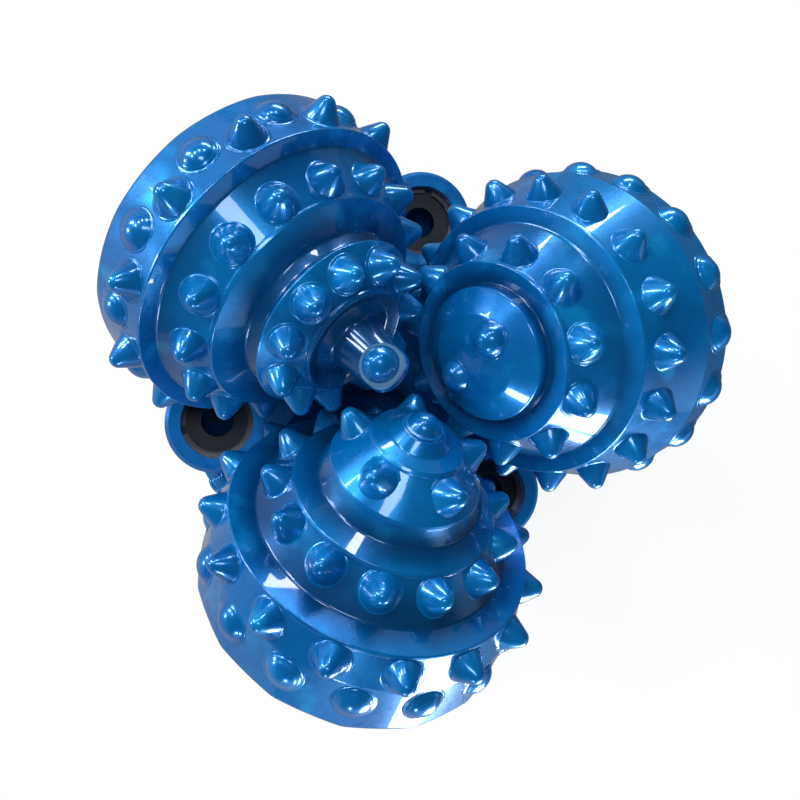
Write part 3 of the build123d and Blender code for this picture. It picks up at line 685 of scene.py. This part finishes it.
def makeWelds():
    spec, tree = weldSpec, weldTree()
    for i, azimuth in enumerate(spec["seams"]):
        path = bpy.data.meshes.new("seam")
        points = [outward(azimuth) * radius * mm + Vector((0, 0, height * mm))
                  for radius, height in spec["line"]]
        path.from_pydata(points, [(k, k + 1) for k in range(len(points) - 1)], [])
        mesh = runTree(f"seamWeld{i + 1}", tree, {
            "Step": spec["step"] * mm, "Width": spec["width"] * mm, "Length": spec["length"] * mm,
            "Rise": spec["rise"] * mm, "Finish": blue}, path)
        for face in mesh.polygons:
            face.use_smooth = True
        made = newObject(f"seamWeld{i + 1}", mesh)
        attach(made, "bit_body")


makeThread()
makeWelds()
print("thread and welds made")

# Carried-over CAD nodes
for name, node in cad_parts.items():
    if node.hide_render:
        continue
    finish = (ballSteel if "balls" in name else bushingBronze if "bushing" in name or "washer" in name
              else sealRubber if "seal" in name or "diaphragm" in name
              else nozzleCarbide if name in ("nozzle_a", "nozzle_b", "nozzle_c")
              else springSteel if name.startswith("nozzle") and "snap" in name
              else bluePin if name in ("leg_a", "leg_b", "leg_c") else blue)
    node.data.materials.clear()
    node.data.materials.append(finish)
print("nodes painted")

# Floor, lamps and sky
# Headings in the stage are read as seen from the camera: right, up, and height above the floor
stageLook = {"right": (0.966, 0.26, 0), "up": (-0.26, 0.966, 0), "middle": (0, 0, 0.2)}
floorLook = {"size": 6, "paper": (0.86, 0.87, 0.88, 1), "glow": 0.72, "glossy": 0.34,
             "farSide": (0.94, 0.34, 0), "farEdges": (-0.1, 0.35), "farShade": 0.85}
hallLook = {"colour": (0.6, 0.82, 1.0, 1), "dusk": 0.03, "bandFoot": (-0.3, 0.02), "bandHead": (0.16, 0.42),
            "openings": [((0.45, -0.89, 0), 0.45, 0.95, 0.9), ((-0.9, 0.3, 0), 0.3, 0.95, 0.45),
                         ((0.1, 1, 0), 0.45, 0.95, 0.5)]}
skyLook = {"colour": (0.93, 0.97, 1, 1), "low": 0.22, "rise": 0.62, "edges": (-0.2, 0.85),
           "darkSide": ((0.93, 0.35, 0.1), -0.25, 0.85), "darkShare": 0.9}
# what a lamp has unless it says otherwise: distance, and its shares in diffuse and in mirrored light
lampUsual = {"reach": 1.2, "wash": 0.42, "shine": 1.0}
lampSet = [
    {"name": "paneA", "heading": (-0.72, 0.34, 0.6), "size": (0.15, 0.17), "power": 1.9},
    {"name": "paneB", "heading": (-0.52, 0.56, 0.64), "size": (0.13, 0.17), "power": 1.7},
    {"name": "paneC", "heading": (-0.24, 0.7, 0.64), "size": (0.15, 0.15), "power": 1.7},
    {"name": "paneD", "heading": (0.06, 0.76, 0.62), "size": (0.1, 0.15), "power": 1.1},
    {"name": "lowDoor", "heading": (0.47, -0.86, -0.02), "size": (0.5, 0.34), "power": 10.0,
     "reach": 1.1, "wash": 1.0},
    {"name": "stepLight", "heading": (0.4, -0.9, -0.24), "size": (0.34, 0.09), "power": 1.5, "reach": 0.6},
    {"name": "lowPane", "heading": (-0.25, -0.9, 0.3), "size": (0.16, 0.2), "power": 2.2},
    {"name": "leftDoor", "heading": (-0.84, 0.48, 0.28), "size": (0.4, 0.16), "power": 4.6, "wash": 0.3},
    {"name": "leftPane", "heading": (-0.99, 0.06, 0.08), "size": (0.2, 0.2), "power": 2.6, "wash": 0.3},
    {"name": "farDoor", "heading": (0.16, 0.98, 0.1), "size": (0.6, 0.16), "power": 6.0, "wash": 0.25},
    {"name": "skylight", "heading": (-0.12, 0.2, 0.97), "size": (0.5, 0.3), "power": 4.4,
     "reach": 1.6, "shine": 0.0},
]


def fromStage(heading):
    right, up = Vector(stageLook["right"]), Vector(stageLook["up"])
    return right * heading[0] + up * heading[1] + Vector((0, 0, heading[2]))


def addLamp(lamp):
    lamp = {**lampUsual, **lamp}
    data = bpy.data.lights.new(lamp["name"], "AREA")
    data.shape, data.size, data.size_y, data.energy = "RECTANGLE", *lamp["size"], lamp["power"]
    data.specular_factor, data.diffuse_factor = lamp["shine"], lamp["wash"]
    light = bpy.data.objects.new(lamp["name"], data)
    middle = Vector(stageLook["middle"])
    light.location = middle + fromStage(lamp["heading"]).normalized() * lamp["reach"]
    light.rotation_euler = (middle - light.location).to_track_quat("-Z", "Z").to_euler()
    scene.collection.objects.link(light)


def makeFloor():
    bpy.ops.mesh.primitive_plane_add(size=floorLook["size"])
    floor = bpy.context.object
    floor.name = "floor"
    made, board, place = newMaterial("floorPaper")
    seen = board.node("ShaderNodeLightPath", None, None, "Is Camera Ray")
    glossy = board.node("ShaderNodeLightPath", None, None, "Is Glossy Ray")
    through = board.node("ShaderNodeLightPath", None, None, "Is Transmission Ray")
    away = board.node("ShaderNodeVectorMath", {"operation": "DOT_PRODUCT"},
                      {0: place, 1: tuple(fromStage(floorLook["farSide"]))}, 1)
    bright = 1.0 - board.step(away, *floorLook["farEdges"]) * floorLook["farShade"]
    share = board.maths("ADD", seen * floorLook["glow"] + glossy * bright * floorLook["glossy"],
                        through * floorLook["glow"], True)
    matt = board.node("ShaderNodeBsdfDiffuse", None, {"Color": floorLook["paper"]})
    dim = board.node("ShaderNodeEmission", None, {"Color": hallLook["colour"], "Strength": hallLook["dusk"]})
    plain = board.node("ShaderNodeMixShader", None, {0: glossy, 1: matt, 2: dim})
    glow = board.node("ShaderNodeEmission", None, {"Color": (1, 1, 1, 1), "Strength": 1.0})
    closeMaterial(board, board.node("ShaderNodeMixShader", None, {0: share, 1: plain, 2: glow}))
    floor.data.materials.append(made)


def makeWorld():
    world = bpy.data.worlds.new("studio")
    world.use_nodes = True
    world.node_tree.nodes.clear()
    board = Board(world.node_tree)
    heading = board.node("ShaderNodeTexCoord", None, None, "Generated")
    height = board.node("ShaderNodeSeparateXYZ", None, {"Vector": heading}, 2)

    def toward(direction, low, high):
        aim = fromStage(direction).normalized()
        return board.step(board.node("ShaderNodeVectorMath", {"operation": "DOT_PRODUCT"},
                                     {0: heading, 1: tuple(aim)}, 1), low, high)

    # reflections see a dim hall with openings in front, to the left and behind; diffuse light comes from a pale
    # sky with a dark right side; the camera sees white
    band = board.step(height, *hallLook["bandFoot"]) * (1.0 - board.step(height, *hallLook["bandHead"]))
    front, left, behind = [toward(aim, low, high) * strength
                           for aim, low, high, strength in hallLook["openings"]]
    hall = board.node("ShaderNodeBackground", None, {
        "Color": hallLook["colour"], "Strength": (front + left + behind) * band + hallLook["dusk"]})
    sky = skyLook["low"] + board.step(height, *skyLook["edges"]) * skyLook["rise"]
    lit = 1.0 - toward(*skyLook["darkSide"]) * skyLook["darkShare"]
    fill = board.node("ShaderNodeBackground", None, {"Color": skyLook["colour"], "Strength": sky * lit})
    white = board.node("ShaderNodeBackground", None, {"Color": (1, 1, 1, 1), "Strength": 1.0})
    seen = board.node("ShaderNodeLightPath", None, None, "Is Camera Ray")
    through = board.node("ShaderNodeLightPath", None, None, "Is Transmission Ray")
    glossy = board.node("ShaderNodeLightPath", None, None, "Is Glossy Ray")
    both = board.node("ShaderNodeMixShader", None, {0: glossy, 1: fill, 2: hall})
    both = board.node("ShaderNodeMixShader", None, {0: seen + through, 1: both, 2: white})
    end = world.node_tree.nodes.new("ShaderNodeOutputWorld")
    world.node_tree.links.new(both.socket, end.inputs["Surface"])
    scene.world = world
    scene.view_settings.view_transform = "Standard"


makeFloor()
for lamp in lampSet:
    addLamp(lamp)
makeWorld()
print("stage set")
